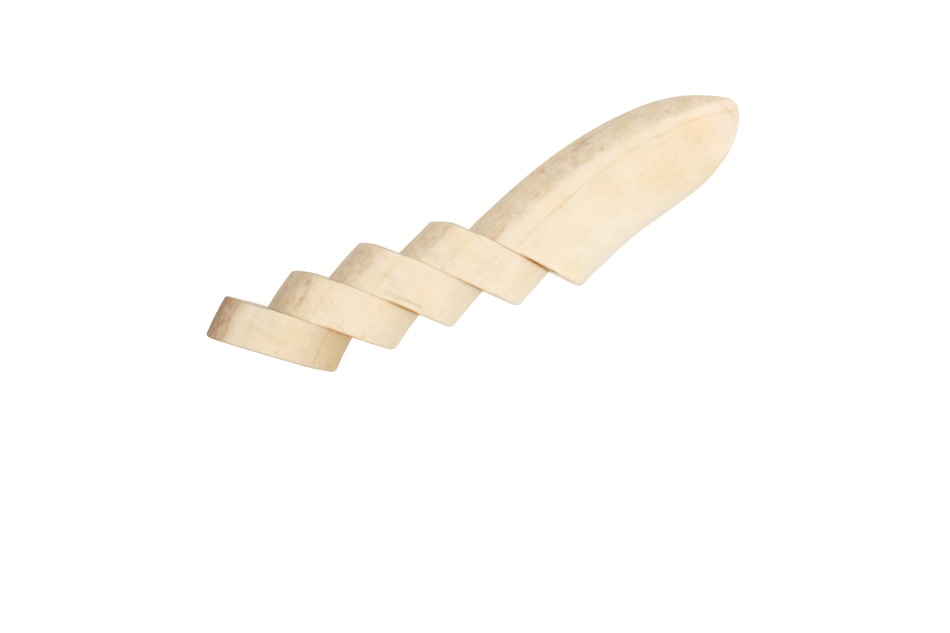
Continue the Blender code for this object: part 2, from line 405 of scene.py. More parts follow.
class Fruit:
    """The whole peeled fruit as it lies, rolled by some degrees. It works on many points at once."""

    distances = np.arange(STEM_SIDE, TIP + 2 * STEP, STEP)
    headings = np.radians(smooth_curve(BEND, distances))
    half_widths = smooth_curve(HALF_WIDTH, distances)
    plan_x = np.cumsum(np.cos(headings)) * STEP
    plan_y = np.cumsum(np.sin(headings)) * STEP

    def __init__(self, roll):
        self.roll = radians(roll)
        across, up = self.flanks_at(np.radians(np.arange(360)))
        self.middle = (across.min() + across.max()) / 2
        self.scale = 2 / (across.max() - across.min())
        self.lowest = up.min() * self.scale

    def flanks_at(self, angle):
        """The outline of the flanks, as (towards the inner side, up)."""
        pull = 0
        for facing, distance in FLANKS:
            towards = np.cos(angle - radians(facing) - self.roll) / distance
            pull = pull + np.maximum(towards, 0) ** RIDGE_SHARPNESS
        reach = pull ** (-1 / RIDGE_SHARPNESS)
        return reach * np.cos(angle), reach * np.sin(angle)

    def section(self, angle):
        """The cross-section, made 2 wide and set evenly about its middle."""
        across, up = self.flanks_at(angle)
        return (across - self.middle) * self.scale, up * self.scale

    def heading(self, at):
        return np.interp(at, self.distances, self.headings)

    def trunk(self, at):
        """Half the width without the tip's dome."""
        return np.interp(at, self.distances, self.half_widths)

    def half_width(self, at):
        """Half the width, closing in to the tip's dome and the blunt nub at its end."""
        share = np.clip(at / TIP, 0, 1)
        dome = self.trunk(at) * (1 - share**DOME_FULLNESS) ** DOME_ROUNDNESS
        into_nub = np.clip(at - TIP + NUB_RADIUS, 0, NUB_RADIUS)
        nub = np.sqrt(NUB_RADIUS**2 - into_nub**2)
        return (dome**NUB_BLEND + nub**NUB_BLEND) ** (1 / NUB_BLEND)

    def middle_point(self, at):
        """The middle line, at the height where the settled fruit meets the table."""
        x = np.interp(at, self.distances, self.plan_x)
        y = np.interp(at, self.distances, self.plan_y)
        droop = TIP_DROOP * np.clip(at / TIP, 0, None) ** DROOP_BEND
        return np.stack([x, y, -self.lowest * self.trunk(at) - SAG - droop], axis=-1)

    def side_point(self, at, across, up):
        """Points of the fruit's side, flattened where it lies on the table."""
        turn = self.heading(at)
        wide = self.half_width(at)
        place = self.middle_point(at)
        place[..., 0] += np.sin(turn) * across * wide
        place[..., 1] -= np.cos(turn) * across * wide
        place[..., 2] = np.maximum(place[..., 2] + up * wide, 0)
        return place

    def cut_distance(self, at, facing, across, up):
        """How far along the side an upright cut at some heading meets it, found by halving."""
        through = self.middle_point(at)
        square = np.stack([np.cos(facing), np.sin(facing), np.zeros_like(facing)], axis=-1)
        near = at - self.half_width(at)
        far = np.minimum(at + self.half_width(at), TIP)
        for _ in range(HALVINGS):
            halfway = (near + far) / 2
            offset = self.side_point(halfway, across, up) - through
            before = np.sum(offset * square, axis=-1) < 0
            near = np.where(before, halfway, near)
            far = np.where(before, far, halfway)
        return near


def knife_heading(cut):
    """The knife's heading at a cut, in radians from +X, turning evenly from cut to cut."""
    return np.radians(LAST_KNIFE_HEADING + KNIFE_TURN * (len(CUTS) - 1 - cut))


def along_blade(cut):
    """The direction in plan along a cut's blade, towards the outer side."""
    heading = knife_heading(cut) + np.pi / 2
    return np.array([np.cos(heading), np.sin(heading), 0])


def slid_by(node):
    """How far a piece has moved in plan: its own slide, and those of the slices after it."""
    moved = np.zeros(3)
    for cut in range(PIECES.index(node) + 1, len(CUTS)):
        moved += along_blade(cut) * SLIDES[cut - 1]
    return moved


def curved_back(place, cut):
    """How far back a curved cut lies beside each point of the laid out row."""
    if cut == 0:
        return np.zeros(len(place))
    blade = along_blade(cut)
    middle = Fruit(0).middle_point(CUTS[cut]) + slid_by(PIECES[cut]) + blade * SLIDES[cut - 1] / 2
    towards_outer = (place - middle) @ blade
    outer, inner = CUT_CURVES[cut]
    return np.where(towards_outer > 0, outer, inner) * (towards_outer / CUT_REACH) ** 2


def noise_field(points, grain, start=0):
    """Smooth noise from -1 to 1 at many points, with its own grain size along each axis."""
    scaled = (points + start) / np.array(grain)
    return np.array([noise.noise(Vector(point)) for point in scaled])


def low_relief(points, layers):
    """Layers of noise, added up."""
    return sum(height * noise_field(points, grain, start) for height, grain, start in layers)


# ---- Modelling ----


def select_where(mesh, kind, test):
    """In edit mode, selects the vertices, edges or faces that pass a test, and only those."""
    bpy.ops.mesh.select_mode(type=kind)
    bpy.ops.mesh.select_all(action="DESELECT")
    form = bmesh.from_edit_mesh(mesh)
    for item in {"VERT": form.verts, "EDGE": form.edges, "FACE": form.faces}[kind]:
        item.select = test(item)
    form.select_flush_mode()
    bmesh.update_edit_mesh(mesh)


def cap_with_grid(mesh, height):
    """Turns one round end of the blank into a face of even quads, with close rings at its rim."""

    def at_this_end(vertex):
        return abs(vertex.co.z - height) < HAIRBREADTH

    def is_end(face):
        return len(face.verts) == AROUND and at_this_end(face.verts[0])

    select_where(mesh, "FACE", is_end)
    for width in FACE_INSETS:
        bpy.ops.mesh.inset(thickness=width)
    bpy.ops.mesh.delete(type="ONLY_FACE")
    inner = 1 - sum(FACE_INSETS)

    def on_inner_ring(edge):
        return all(abs(v.co.xy.length - inner) < RING_BREADTH and at_this_end(v) for v in edge.verts)

    select_where(mesh, "EDGE", on_inner_ring)
    bpy.ops.mesh.fill_grid(span=AROUND // 4)


def model_blank(name, rings, pointed):
    """A cylinder, 1 high and 1 in radius, ringed down its side, with gridded or pointed ends."""
    bpy.ops.mesh.primitive_cylinder_add(
        vertices=AROUND, radius=1, depth=1, end_fill_type="NGON", location=(0, 0, 0.5)
    )
    piece = bpy.context.object
    piece.name = name
    bpy.ops.object.transform_apply(location=True, rotation=False, scale=False)
    bpy.ops.object.mode_set(mode="EDIT")
    select_where(piece.data, "EDGE", lambda edge: edge.verts[0].co.z != edge.verts[1].co.z)
    bpy.ops.mesh.subdivide(number_cuts=rings - 2)
    cap_with_grid(piece.data, 0)
    if pointed:
        select_where(piece.data, "VERT", lambda vertex: vertex.co.z > 1 - HAIRBREADTH)
        bpy.ops.mesh.merge(type="CENTER")
    else:
        cap_with_grid(piece.data, 1)
    bpy.ops.object.mode_set(mode="OBJECT")
    return piece


def growing_distances(reach):
    """Distances from a cut edge inwards, close at first and then RING_GAP apart."""
    distances = [0]
    gap = RIM_RING_GAP
    while distances[-1] + gap < reach:
        distances.append(distances[-1] + gap)
        gap = min(gap * RING_GROWTH, RING_GAP)
    return np.array(distances)


def slice_ring_shares():
    """Where a slice's rings lie between its cuts, from 0 to 1, closer at both edges."""
    thickness = CUTS[1] - CUTS[0]
    half = growing_distances(thickness / 2 - RING_GAP / 3) / thickness
    return np.concatenate([half, 1 - half[::-1]])


def tip_ring_shares():
    """Where the long piece's rings lie, closer at its cut edge and again at the tip."""
    near_edge = growing_distances(CLOSE_RINGS) / TIP
    count = round((1 - near_edge[-1]) * TIP / RING_GAP * TIP_CROWDING)
    rest = 1 - (1 - near_edge[-1]) * (1 - np.arange(1, count + 1) / count) ** TIP_CROWDING
    return np.concatenate([near_edge, rest])


def edge_rounding(distance, radius):
    """Rounds an edge: for a point some distance from it, how far in it goes each way."""
    quarter = np.pi / 4
    arc = radius * quarter
    angle = quarter * (1 - np.clip(distance / arc, 0, 1))
    on_arc = radius * (1 - np.sin(angle))
    beyond = distance + (radius - arc) * np.exp(-np.maximum(distance - arc, 0) / ROUNDING_FADE)
    return np.where(distance < arc, on_arc, beyond), radius * (1 - np.cos(angle))


def crevice_window(name, rim, lying):
    """How strongly a rim's crevice shows, with its painted glow and shadow, from 0 to 1, by the
    direction that it faces.
    """
    degrees = np.degrees(lying)
    strongest = np.zeros(len(lying))
    for which, start, full, faded, strength in CREVICES[name]:
        if which == rim:
            begins = np.clip((degrees - start) / CREVICE_END + 1, 0, 1)
            fades = np.clip((faded - degrees) / (faded - full), 0, 1)
            strongest = np.maximum(strongest, strength * begins * fades)
    return strongest


def free_rim(name, rim, lying):
    """Whether a rim is free, 1, or lies against its neighbour, 0, by the direction that it faces."""
    if (name, rim) == ("slice_1", "near"):
        return np.ones(len(lying))
    clear, touches = TOUCHING[rim]
    return np.clip((np.cos(lying) - touches) / (clear - touches), 0, 1)


def rim_radius(name, rim, lying):
    """The radius of a cut edge, by the direction that it faces."""
    inner = np.clip(np.cos(lying), 0, 1) ** RIM_FOCUS
    outer = np.clip(-np.cos(lying), 0, 1) ** RIM_FOCUS
    soft = FREE_RIM + RIM_TOWARDS_INNER_SIDE[rim] * inner + RIM_TOWARDS_OUTER_SIDE[rim] * outer
    free = free_rim(name, rim, lying)
    return TOUCHING_RIM + soft * free + CREVICE_OPENING * crevice_window(name, rim, lying)


def worn_back(name, across, wide):
    """How far a slice's far cut has bent back, by the distance from its outer side."""
    if name not in WORN_END:
        return np.zeros(len(across))
    length, depth = WORN_END[name]
    return depth * np.clip(1 - (1 + across) * wide / length, 0, 1) ** WORN_BEND


def arc_from(angle, facing, wide):
    """The distance round the side from the direction that a mark faces, in metres."""
    turn = (angle - np.radians(facing) + np.pi) % (2 * np.pi) - np.pi
    return turn * wide


def seam_lines(straight, angle, wide):
    """How strongly each point lies in a seam, from 0 to 1, and the lips on either side of it."""
    along = straight * np.array([1, 0, 0])
    wander = SEAM_WANDER * noise_field(along, (SEAM_WANDER_GRAIN, 1, 1), start=0.3)
    unevenness = SEAM_UNEVENNESS * noise_field(along, (SEAM_FADING_GRAIN, 1, 1), start=0.7)
    fading = (SEAM_STRENGTH + unevenness) * np.where(straight[:, 0] < 0, SEAM_ON_SLICES, 1)
    line = np.zeros(len(angle))
    lips = np.zeros(len(angle))
    for path, strength in SEAMS:
        facing = smooth_curve(path, straight[:, 0])
        distance = arc_from(angle, facing, wide) + wander
        line += strength * fading * np.exp(-((distance / SEAM_HALF_WIDTH) ** 2))
        lips += strength * np.exp(-((distance / LIP_HALF_WIDTH) ** 2))
    return line, lips


def side_relief(straight, angle, wide, line, lips):
    """The height of the side's ridge, seams, fibres, wrinkles and dents, in metres."""
    relief = low_relief(straight, SIDE_RELIEF) + LIP_HEIGHT * lips - SEAM_DEPTH * line
    from_ridge = arc_from(angle, OUTER_RIDGE, wide)
    relief += RIDGE_HEIGHT * np.exp(-((from_ridge / RIDGE_HALF_WIDTH) ** 2))
    return relief * np.clip(wide / RELIEF_FADES_UNDER, 0, 1)


def flap_groove(straight, angle, wide):
    """How deep each point lies in the groove of the flap, from 0 to 1."""
    (start, start_faces), (stop, stop_faces) = FLAP_GROOVE
    ahead = straight[:, 0] - start * MM
    aside = arc_from(angle, start_faces, wide)
    run = np.array([(stop - start) * MM, radians(stop_faces - start_faces) * FLAP_RADIUS])
    share = (ahead * run[0] + aside * run[1]) / (run @ run)
    nearest = np.clip(share, 0, 1)
    distance = np.hypot(ahead - nearest * run[0], aside - nearest * run[1])
    return np.exp(-((distance / FLAP_HALF_WIDTH) ** 2))


def stain_strengths(name, straight, angle, wide):
    """How strongly each point is stained, for each kind of stain."""
    ragged = STAIN_RAGGEDNESS * noise_field(straight, (STAIN_RAGGED_GRAIN,) * 3, start=0.5)
    strengths = np.zeros((len(angle), 3))
    if name == FLAP_SLICE:
        strengths[:, TAN] = FLAP_STAIN * flap_groove(straight, angle, wide)
    for along, facing, half_long, half_wide, turn, strength, kind in STAINS[name]:
        ahead = straight[:, 0] - along * MM + ragged
        aside = arc_from(angle, facing, wide) - ragged
        c, s = np.cos(radians(turn)), np.sin(radians(turn))
        long_share = (ahead * c + aside * s) / (half_long * STAIN_SPREAD * MM)
        wide_share = (aside * c - ahead * s) / (half_wide * STAIN_SPREAD * MM)
        mark = strength * np.exp(-(long_share**2 + wide_share**2))
        strengths[:, kind] = np.maximum(strengths[:, kind], mark)
    return strengths


def face_relief(straight, reach):
    """How far a cut face stands out: knife strokes, and the softer core sunk a little."""
    core = -CORE_HOLLOW * np.exp(-((reach / CORE_REACH) ** CORE_FLATNESS))
    height = np.minimum(low_relief(straight, FACE_RELIEF) + core - FACE_SINK, 0)
    return height * (1 - reach**FACE_FLATNESS)


def points_of(piece):
    """The points of a piece's mesh, one to a row."""
    points = np.empty(len(piece.data.vertices) * 3)
    piece.data.vertices.foreach_get("co", points)
    return points.reshape(-1, 3)


def read_blank(piece):
    """The blank's points, as height, distance from its axis and direction round it."""
    x, y, z = points_of(piece).T
    height = np.where(z < HAIRBREADTH, 0, np.where(z > 1 - HAIRBREADTH, 1, z))
    return height, np.minimum(np.hypot(x, y), 1), np.arctan2(x, y)


def in_whole_fruit(fruit, along, across, up):
    """Where points of the side lay in the straight fruit, before it rolled, as distances in m."""
    c, s = np.cos(fruit.roll), np.sin(fruit.roll)
    unrolled = np.stack([across * c + up * s, up * c - across * s], axis=-1)
    return np.column_stack([along, unrolled * fruit.half_width(along)[:, None]])


def in_relief(outside, centre, relief):
    """Points of the side, moved out from the fruit's middle by their relief."""
    outwards = outside - centre
    way_out = np.maximum(np.linalg.norm(outwards, axis=-1), SHORTEST_WAY_OUT)
    return outside + outwards * (relief / way_out)[:, None]


def lay_in_row(place, node, square, share, length):
    """Slides a piece along its cuts and bends it by the curves of the knife's path."""
    cut = PIECES.index(node)
    place = place + slid_by(node)
    if node == "tip_piece":
        back = curved_back(place, cut) * np.exp(-share * length / CUT_CURVE_FADE)
    else:
        back = curved_back(place, cut) * (1 - share) + curved_back(place, cut + 1) * share
    place -= square * back[:, None]
    place[:, 2] = np.maximum(place[:, 2], 0)
    return place


def mould(piece, node, shares, near, far, facing):
    """Bends a blank into its place in the fruit and stores where each point lay in it."""
    fruit = Fruit(ROLLS[node])
    height, reach, angle = read_blank(piece)
    pointed = far == TIP
    ring = height * (len(shares) - 1)
    share = np.interp(ring, np.arange(len(shares)), shares)
    across, up = fruit.section(angle)
    lying = np.arctan2(up, across)
    own_angle = lying - fruit.roll
    length = far - near
    wide = fruit.half_width(near + length * share)

    # The cut edges are rounded: how far each point goes along the piece, and in towards its middle.
    on_near_face = (height == 0) & (reach < SIDE_REACH)
    on_far_face = (height == 1) & (reach < SIDE_REACH)
    near_radius = rim_radius(node, "near", lying)
    far_radius = rim_radius(node, "far", lying)
    from_near, sunk_near = edge_rounding(share * length, near_radius)
    from_far, sunk_far = edge_rounding((1 - share) * length, far_radius)
    if pointed:
        from_far, sunk_far = (1 - share) * length, np.zeros_like(share)
    nearer = share < 0.5
    share = np.where(nearer, from_near / length, 1 - from_far / length)
    sunk = np.where(nearer, sunk_near, sunk_far)
    face_inwards, face_sunk = edge_rounding(
        (1 - reach) * wide, np.where(on_near_face, near_radius, far_radius)
    )
    on_face = on_near_face | (on_far_face & (not pointed))
    share = np.where(on_near_face, 0, np.where(on_far_face, 1, share))
    inwards = np.where(on_face, face_inwards, sunk)
    inner_reach = np.where(on_face, np.clip(1 - inwards / np.maximum(wide, THINNEST), 0, 1), 1)

    # Where each point lay in the fruit before it was cut, which the relief and colours follow.
    worn = worn_back(node, across * inner_reach, wide) * share**WORN_DEPTH_BEND
    at = near + length * share - worn
    turned = facing(share)
    along = fruit.cut_distance(at, turned, across, up)
    wide = fruit.half_width(along)
    straight = in_whole_fruit(fruit, along, across, up)
    line, lips = seam_lines(straight, own_angle, wide)
    if node == FLAP_SLICE:
        line += FLAP_LINE * flap_groove(straight, own_angle, wide)
    relief = side_relief(straight, own_angle, wide, line, lips)
    stains = stain_strengths(node, straight, own_angle, wide)

    # Where it lies now: on the side, in relief, and from there inwards on the cut faces.
    centre = fruit.middle_point(at)
    outside = in_relief(fruit.side_point(along, across, up), centre, relief)
    depth = np.clip(inwards / np.maximum(wide, THINNEST), 0, 1)[:, None]
    place = outside + (centre - outside) * depth
    straight[:, 1:] *= inner_reach[:, None]
    straight[:, 0] = np.where(on_face, at, straight[:, 0])
    square = np.stack([np.cos(turned), np.sin(turned), np.zeros_like(turned)], axis=-1)
    into_piece = np.where(on_near_face, 1, -1) * on_face
    raised = face_relief(straight, inner_reach)
    place += square * (into_piece * (face_sunk - raised))[:, None]
    place = lay_in_row(place, node, square, share, length)
    piece.data.vertices.foreach_set("co", place.ravel())

    # What the materials read: where each point lay, its marks, and what happens at its cut edge.
    to_edge = np.minimum(from_near, from_far if not pointed else 1)
    near_half = on_near_face | (nearer & ~on_far_face)
    crevice = np.where(near_half, *(crevice_window(node, rim, lying) for rim in ("near", "far")))
    free = np.where(near_half, *(free_rim(node, rim, lying) for rim in ("near", "far")))
    for name, values in {
        "straight": straight / MM,
        "reach": inner_reach,
        "seam": np.clip(line, 0, 1),
        "stains": stains,
        "edge_mm": np.where(on_face, face_inwards, to_edge) / MM,
        "crevice": crevice,
        "free_rim": free,
    }.items():
        store(piece.data, name, values)
    piece.data.update()


def store(mesh, name, values):
    """Keeps one value or vector for each point of a mesh, for its materials."""
    kind = "FLOAT_VECTOR" if values.ndim == 2 else "FLOAT"
    attribute = mesh.attributes.new(name, kind, "POINT")
    attribute.data.foreach_set("vector" if values.ndim == 2 else "value", values.ravel())


def centre_row(pieces):
    """Moves the whole row in plan so that its long piece lies where the CAD's does."""
    long_piece = points_of(pieces[-1])
    cad_low, cad_high = (np.array(corner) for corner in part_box("tip_piece"))
    move = (cad_low + cad_high) / 2 - (long_piece.min(axis=0) + long_piece.max(axis=0)) / 2
    move[2] = 0
    for piece in pieces:
        piece.data.vertices.foreach_set("co", (points_of(piece) + move).ravel())
        piece.data.update()


def finish_mesh(piece):
    """Makes the faces point outwards and shades them smooth."""
    bpy.ops.object.mode_set(mode="EDIT")
    bpy.ops.mesh.select_all(action="SELECT")
    bpy.ops.mesh.normals_make_consistent(inside=False)
    bpy.ops.object.mode_set(mode="OBJECT")
    bpy.ops.object.shade_smooth()
    piece.select_set(False)


def model_slice(number, shares):
    """One slice, between its two cuts."""
    node = f"slice_{number}"
    piece = model_blank(node + "_flesh", len(shares), False)
    near = CUTS[number - 1] + CUT_GAP / 2
    far = CUTS[number] - CUT_GAP / 2
    mould(piece, node, shares, near, far, lambda share: knife_heading(number - 1 + share))
    return piece


def model_tip_piece():
    """The long piece, from the last cut to the tip."""
    shares = tip_ring_shares()
    piece = model_blank("tip_piece_flesh", len(shares), True)
    fruit = Fruit(ROLLS["tip_piece"])
    near = CUTS[-1] + CUT_GAP / 2
    slant = knife_heading(len(CUTS) - 1) - fruit.heading(near)

    def facing(share):
        return fruit.heading(near + (TIP - near) * share) + slant * (1 - share) ** 2

    mould(piece, "tip_piece", shares, near, TIP, facing)
    return piece


# ---- Materials ----

# Where a Mix node has its colours, after those for numbers and vectors.
MIX_FIRST = 6
MIX_SECOND = 7
MIX_RESULT = 2

# The group sockets that aren't plain numbers. Straight is where a point lay in the whole fruit.
SOCKET_KINDS = {"Straight": "Vector", "Color": "Color"}


class Nodes:
    """A short way to wire a node tree: each call adds a node and gives back its output."""

    def __init__(self, tree):
        self.tree = tree

    def plug(self, socket, value):
        if isinstance(value, bpy.types.NodeSocket):
            self.tree.links.new(value, socket)
        else:
            socket.default_value = value

    def wire(self, node, **inputs):
        """Plugs values into a node's inputs by name, and gives back its outputs."""
        for name, value in inputs.items():
            self.plug(node.inputs[name.replace("_", " ")], value)
        return node.outputs

    def fill(self, node, values):
        """Plugs values into a node's inputs, from the first on."""
        for socket, value in zip(node.inputs, values):
            self.plug(socket, value)
        return node.outputs[0]

    def add(self, kind, output=0, settings=None, **inputs):
        node = self.tree.nodes.new(kind)
        for name, value in (settings or {}).items():
            setattr(node, name, value)
        return self.wire(node, **inputs)[output]

    def math(self, operation, *values):
        node = self.tree.nodes.new("ShaderNodeMath")
        node.operation = operation
        return self.fill(node, values)

    def times(self, first, *others):
        """The product of two or more values."""
        for other in others:
            first = self.math("MULTIPLY", first, other)
        return first

    def scaled(self, value, by, plus):
        """A value times one amount plus another."""
        return self.math("MULTIPLY_ADD", value, by, plus)

    def split(self, vector):
        """A vector's three parts."""
        return self.add("ShaderNodeSeparateXYZ", Vector=vector).node.outputs

    def join(self, *parts):
        """A vector made of three parts."""
        return self.fill(self.tree.nodes.new("ShaderNodeCombineXYZ"), parts)

    def stretch(self, vector, scale, offset=(0, 0, 0)):
        return self.add("ShaderNodeMapping", Vector=vector, Scale=scale, Location=offset)

    def noise(self, vector, scale=1.0, detail=2, roughness=0.5, stretch=(1, 1, 1), offset=(0, 0, 0)):
        """Soft noise, finer by its scale, and by its stretch along each axis."""
        if stretch != (1, 1, 1) or offset != (0, 0, 0):
            vector = self.stretch(vector, stretch, offset)
        return self.add(
            "ShaderNodeTexNoise", Vector=vector, Scale=scale, Detail=detail, Roughness=roughness
        )

    def warp(self, vector, scale, amount):
        """Pushes the points of a pattern about, by noise of some scale."""
        push = self.add("ShaderNodeTexNoise", output="Color", Vector=vector, Scale=scale)
        pushed = self.add("ShaderNodeVectorMath", settings={"operation": "MULTIPLY_ADD"})
        return self.fill(pushed.node, (push, (amount, amount, amount), vector))

    def ramp(self, value, none, full):
        """0 at none, 1 at full, smooth between. Either of them may be the larger."""
        return self.add(
            "ShaderNodeMapRange",
            settings={"interpolation_type": "SMOOTHSTEP"},
            Value=value,
            From_Min=none,
            From_Max=full,
        )

    def mix(self, factor, first, second, blend="MIX"):
        node = self.tree.nodes.new("ShaderNodeMix")
        node.data_type = "RGBA"
        node.blend_type = blend
        self.plug(node.inputs["Factor"], factor)
        self.plug(node.inputs[MIX_FIRST], first)
        self.plug(node.inputs[MIX_SECOND], second)
        return node.outputs[MIX_RESULT]

    def tint(self, colour, mask, strength, tone):
        """Multiplies a colour by a tone where a mask says so."""
        return self.mix(self.times(mask, strength), colour, tone, "MULTIPLY")

    def attribute(self, name, output="Fac"):
        """What mould stored for each point under a name."""
        return self.add("ShaderNodeAttribute", output=output, settings={"attribute_name": name})

    def group(self, tree, **inputs):
        """Places a node group and gives back its outputs."""
        node = self.tree.nodes.new("ShaderNodeGroup")
        node.node_tree = tree
        return self.wire(node, **inputs)

    def new_sockets(self, names, in_out):
        for name in names:
            kind = "NodeSocket" + SOCKET_KINDS.get(name, "Float")
            self.tree.interface.new_socket(name, in_out=in_out, socket_type=kind)

    def finish_group(self, **outputs):
        """Gives a node group its outputs, and gives back the group."""
        self.new_sockets(outputs, "OUTPUT")
        self.wire(self.tree.nodes.new("NodeGroupOutput"), **outputs)
        return self.tree


def new_group(name, *inputs):
    """Starts a shader node group, and gives back its nodes and what comes in."""
    nodes = Nodes(bpy.data.node_groups.new(name, "ShaderNodeTree"))
    nodes.new_sockets(inputs, "INPUT")
    return nodes, nodes.tree.nodes.new("NodeGroupInput").outputs


def linear(red, green, blue):
    """A colour given as 0 to 255 on the screen, as the shader's linear values."""
    screen = np.array([red, green, blue]) / 255
    low = screen / 12.92
    high = ((screen + 0.055) / 1.055) ** 2.4
    return (*np.where(screen <= 0.04045, low, high), 1)


# The side's colours by direction, in degrees up from the inner side: (degrees, red, green, blue),
# for flesh cut just now and for flesh that has stood and gone brown. They also hold painted light and
# shade, as they were matched against the render's own shading: the fresh tones are lighter on the
# outer flank and at the inner side's lower edge, where the lamps reach less.
FRESH_TONES = (
    (-180, 241, 225, 200),
    (-150, 239, 224, 199),
    (-60, 239, 224, 200),
    (-10, 243, 231, 213),
    (14, 243, 231, 212),
    (36, 239, 226, 207),
    (56, 237, 224, 204),
    (76, 240, 225, 203),
    (97, 241, 226, 204),
    (108, 243, 228, 207),
    (117, 245, 231, 210),
    (123, 246, 231, 207),
    (135, 248, 231, 206),
    (148, 248, 230, 204),
    (162, 244, 226, 201),
    (180, 241, 225, 200),
)
STALE_TONES = (
    (-180, 203, 178, 144),
    (-150, 214, 190, 156),
    (-60, 218, 194, 158),
    (4, 215, 189, 147),
    (30, 222, 203, 173),
    (45, 224, 205, 177),
    (60, 239, 219, 191),
    (75, 239, 225, 204),
    (97, 237, 221, 198),
    (108, 237, 222, 203),
    (113, 229, 212, 185),
    (118, 219, 195, 164),
    (123, 222, 197, 167),
    (133, 201, 168, 129),
    (146, 175, 147, 116),
    (160, 175, 148, 118),
    (180, 203, 178, 144),
)

# How far each piece's tones are shifted round it and how ragged they are, in degrees, how wrinkled
# its side is, and how stale it is, from 0, cut just now, to 1.
FLANK_SHIFT = {"slice_1": 0.0, "slice_2": 5.0, "slice_3": 3.5, "slice_4": 0.0, "tip_piece": 0.0}
FLANK_RAGGEDNESS = 8.0
WRINKLING = {"slice_1": 1.1, "slice_2": 1.0, "slice_3": 0.9, "slice_4": 0.8, "tip_piece": 0.45}
AGES = {"slice_1": 1.0, "slice_2": 0.38, "slice_3": 0.21, "slice_4": 0.06, "tip_piece": 0.0}

# Tints multiply the tones, so 255 changes nothing, and more makes a tone paler.
PEACH_TINT = linear(255, 252, 243)
COOL_TINT = linear(251, 253, 250)
STROKE_TINT = linear(249, 246, 239)
PATCH_TINT = linear(242, 231, 214)
STREAK_TINT = linear(226, 208, 192)
HAIR_TINT = linear(224, 190, 166)
RIPER_TINT = linear(253, 249, 241)
# Painted light: paler towards the tip's rounded end, to offset the shading of its dome.
PAINTED_LIGHT_END_TINT = linear(261, 258, 261)
SEAM_TINT = linear(247, 243, 225)
TAN_TINT = linear(231, 214, 190)
MAUVE_TINT = linear(212, 187, 178)
RUST_TINT = linear(242, 211, 174)
# Painted shade: a grey line on free cut edges that turn from the light.
FREE_RIM_SHADE_TINT = linear(215, 218, 225)
# Painted shade where neighbouring pieces touch, partly the browning of older cut edges.
TOUCHING_RIM_SHADE_TINT = linear(243, 227, 198)
# Painted light and shade in the crevices: an orange glow of light through the flesh, and a dark
# shadow in the gap.
CREVICE_GLOW_TINT = linear(243, 200, 96)
CREVICE_CORE_TINT = linear(160, 94, 4)
FACE_STALE_TINT = linear(240, 222, 190)
FACE_STALENESS = 0.5

FACE_PALE = linear(248, 236, 212)
FACE_DEEP = linear(242, 226, 197)
CORE_FLESH = linear(241, 219, 178)
CORE_LINE = linear(214, 186, 134)
SEED_BROWN = linear(78, 50, 30)

# In mm from a cut edge, on the side and on the cut face: where the painted glow and shadow of a
# crevice and the painted shade line of a free rim have faded out, and where they are full.
SIDE_CREVICE = {"Glow_Width": 0.95, "Core_Width": 0.42}
FACE_CREVICE = {"Glow_Width": 5.0, "Core_Width": 2.0}
CREVICE_FULL = 0.1
SIDE_FREE_RIM = {"Width": 0.65, "Full_Width": 0.1, "Strength": 0.9}
FACE_FREE_RIM = {"Width": 0.35, "Full_Width": 0.05, "Strength": 0.3}

# The tiny seeds that show on a cut face: mm out from its middle, and direction in degrees. A seed's
# half length and half width are in mm, and how deep in the flesh it lies doesn't count.
SEEDS = (
    (2.4, 49),
    (3.9, 40),
    (4.7, 63),
    (3.3, 78),
    (2.6, 163),
    (4.1, 151),
    (4.6, 179),
    (3.1, 195),
    (2.4, 283),
    (4.2, 269),
    (3.6, 301),
    (4.9, 290),
)
SEED_SIZE = (0.75, 0.36)
ANY_DEPTH = 1000
NO_SEED = 9.0

# The faint rays of a cut face: how fine their noise is round it and outwards, and its core's lobes.
RAYS_AROUND = 13.0
RAYS_OUTWARDS = 2.2
CORE_LOBES = 3.0


def side_angle_group():
    """The direction that a point of the side faces, in degrees."""
    nodes, entry = new_group("side_angle", "Straight")
    _, towards, up = nodes.split(entry["Straight"])
    angle = nodes.math("ARCTAN2", up, towards)
    return nodes.finish_group(Degrees=nodes.math("DEGREES", angle))


def add_tones(nodes, share, tones):
    """A ramp of tones round the side, where share is 0 at -180 degrees and 1 at 180."""
    node = nodes.tree.nodes.new("ShaderNodeValToRGB")
    nodes.plug(node.inputs[0], share)
    stops = node.color_ramp.elements
    while len(stops) < len(tones):
        stops.new(0.5)
    for stop, (degrees, *_) in zip(stops, tones):
        stop.position = (degrees + 180) / 360
    for stop, (_, *colour) in zip(stops, tones):
        stop.color = linear(*colour)
    return node.outputs[0]


def flesh_tone_group():
    """The flesh's colour by the direction that it faces, painted light and shade included, and by how
    stale it is.
    """
    nodes, entry = new_group("flesh_tone", "Degrees", "Age")
    share = nodes.math("DIVIDE", nodes.math("ADD", entry["Degrees"], 180.0), 360.0)
    fresh = add_tones(nodes, share, FRESH_TONES)
    stale = add_tones(nodes, share, STALE_TONES)
    return nodes.finish_group(Color=nodes.mix(entry["Age"], fresh, stale))


